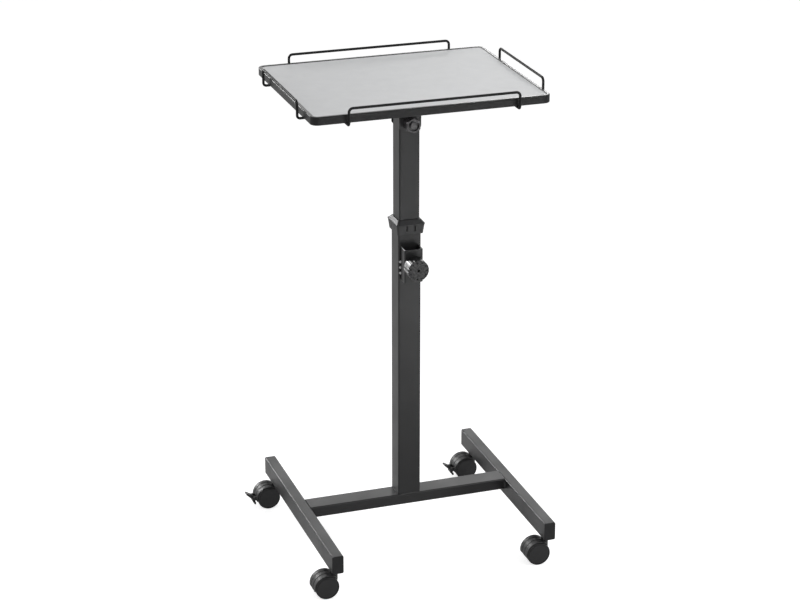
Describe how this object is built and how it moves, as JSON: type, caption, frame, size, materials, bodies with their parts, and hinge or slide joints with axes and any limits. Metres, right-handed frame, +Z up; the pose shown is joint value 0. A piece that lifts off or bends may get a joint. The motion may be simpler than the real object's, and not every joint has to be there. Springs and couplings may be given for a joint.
{
  "type": "portable projector stand",
  "caption": "Rolling projector stand: H-shaped tube base on hooded casters, telescopic mast with a clamp knob, and a tilting tray with wire edge guards.",
  "frame": {"origin": "floor level, at the middle of the stand's box seen from above", "axes": "+Z up along the mast, +X to the right along the cross bar, +Y from the front to the back"},
  "size_m": [0.555, 0.5, 1.0105],
  "materials": {
    "steel": "satin black powder coat",
    "wire": "gloss black coat",
    "laminate": "pale grey laminate",
    "edging": "satin black edging",
    "moulding": "satin black moulding",
    "fastener": "zinc plated",
    "end_cap": "satin black moulding",
    "caster_hood": "satin black moulding",
    "wheel": "satin black moulding",
    "caster_pin": "dark plated steel",
    "pedal": "satin black moulding"
  },
  "bodies": {
    "base": {"left_rail": "steel", "right_rail": "steel", "cross_bar": "steel", "lower_mast": "steel", "mast_collar": "moulding", "clamp_saddle": "steel", "left_rail_front_cap": "end_cap", "left_rail_back_cap": "end_cap", "right_rail_front_cap": "end_cap", "right_rail_back_cap": "end_cap", "front_left_caster_pintle": "caster_pin", "front_right_caster_pintle": "caster_pin", "back_left_caster_pintle": "caster_pin", "back_right_caster_pintle": "caster_pin"},
    "upper_mast": {"upper_mast": "steel", "tilt_bolt": "fastener"},
    "tray": {"tray_board": "laminate", "tray_edging": "edging", "tray_bracket": "steel", "front_guard": "wire", "back_guard": "wire", "left_guard": "wire", "right_guard": "wire"},
    "clamp_knob": {"clamp_knob": "moulding"},
    "tilt_knob": {"tilt_knob": "moulding"},
    "front_left_caster": {"front_left_caster_hood": "caster_hood"},
    "front_left_wheels": {"front_left_caster_near_wheel": "wheel", "front_left_caster_far_wheel": "wheel", "front_left_caster_axle": "caster_pin"},
    "front_right_caster": {"front_right_caster_hood": "caster_hood"},
    "front_right_wheels": {"front_right_caster_near_wheel": "wheel", "front_right_caster_far_wheel": "wheel", "front_right_caster_axle": "caster_pin"},
    "back_left_caster": {"back_left_caster_hood": "caster_hood"},
    "back_left_wheels": {"back_left_caster_near_wheel": "wheel", "back_left_caster_far_wheel": "wheel", "back_left_caster_axle": "caster_pin"},
    "back_left_brake": {"back_left_brake_pedal": "pedal"},
    "back_right_caster": {"back_right_caster_hood": "caster_hood"},
    "back_right_wheels": {"back_right_caster_near_wheel": "wheel", "back_right_caster_far_wheel": "wheel", "back_right_caster_axle": "caster_pin"},
    "back_right_brake": {"back_right_brake_pedal": "pedal"}
  },
  "joints": [
    {"name": "mast_height", "type": "slide", "parent": "base", "child": "upper_mast", "axis": [0, 0, 1], "range_m": [-0.17, 0.22]},
    {"name": "tray_tilt", "type": "hinge", "parent": "upper_mast", "child": "tray", "pos_m": [0.01992, 0, 0.919], "axis": [0, 1, 0], "range_deg": [-30, 30]},
    {"name": "clamp_knob_turn", "type": "hinge", "parent": "base", "child": "clamp_knob", "pos_m": [0.01992, -0.05, 0.6227], "axis": [0, -1, 0], "continuous": true},
    {"name": "tilt_knob_turn", "type": "hinge", "parent": "upper_mast", "child": "tilt_knob", "pos_m": [0.01992, -0.03, 0.919], "axis": [0, -1, 0], "continuous": true},
    {"name": "front_left_swivel", "type": "hinge", "parent": "base", "child": "front_left_caster", "pos_m": [-0.20983, -0.221, 0.0552], "axis": [0, 0, 1], "continuous": true},
    {"name": "front_left_roll", "type": "hinge", "parent": "front_left_caster", "child": "front_left_wheels", "pos_m": [-0.22883, -0.221, 0.025], "axis": [0, 1, 0], "continuous": true},
    {"name": "front_right_swivel", "type": "hinge", "parent": "base", "child": "front_right_caster", "pos_m": [0.24968, -0.221, 0.0552], "axis": [0, 0, 1], "continuous": true},
    {"name": "front_right_roll", "type": "hinge", "parent": "front_right_caster", "child": "front_right_wheels", "pos_m": [0.23067, -0.221, 0.025], "axis": [0, 1, 0], "continuous": true},
    {"name": "back_left_swivel", "type": "hinge", "parent": "base", "child": "back_left_caster", "pos_m": [-0.20983, 0.2125, 0.0552], "axis": [0, 0, 1], "continuous": true},
    {"name": "back_left_roll", "type": "hinge", "parent": "back_left_caster", "child": "back_left_wheels", "pos_m": [-0.22883, 0.2125, 0.025], "axis": [0, 1, 0], "continuous": true},
    {"name": "back_left_brake_press", "type": "hinge", "parent": "back_left_caster", "child": "back_left_brake", "pos_m": [-0.26153, 0.2125, 0.025], "axis": [0, -1, 0], "range_deg": [0, 18]},
    {"name": "back_right_swivel", "type": "hinge", "parent": "base", "child": "back_right_caster", "pos_m": [0.24968, 0.2125, 0.0552], "axis": [0, 0, 1], "continuous": true},
    {"name": "back_right_roll", "type": "hinge", "parent": "back_right_caster", "child": "back_right_wheels", "pos_m": [0.23067, 0.2125, 0.025], "axis": [0, 1, 0], "continuous": true},
    {"name": "back_right_brake_press", "type": "hinge", "parent": "back_right_caster", "child": "back_right_brake", "pos_m": [0.19798, 0.2125, 0.025], "axis": [0, -1, 0], "range_deg": [0, 18]}
  ]
}
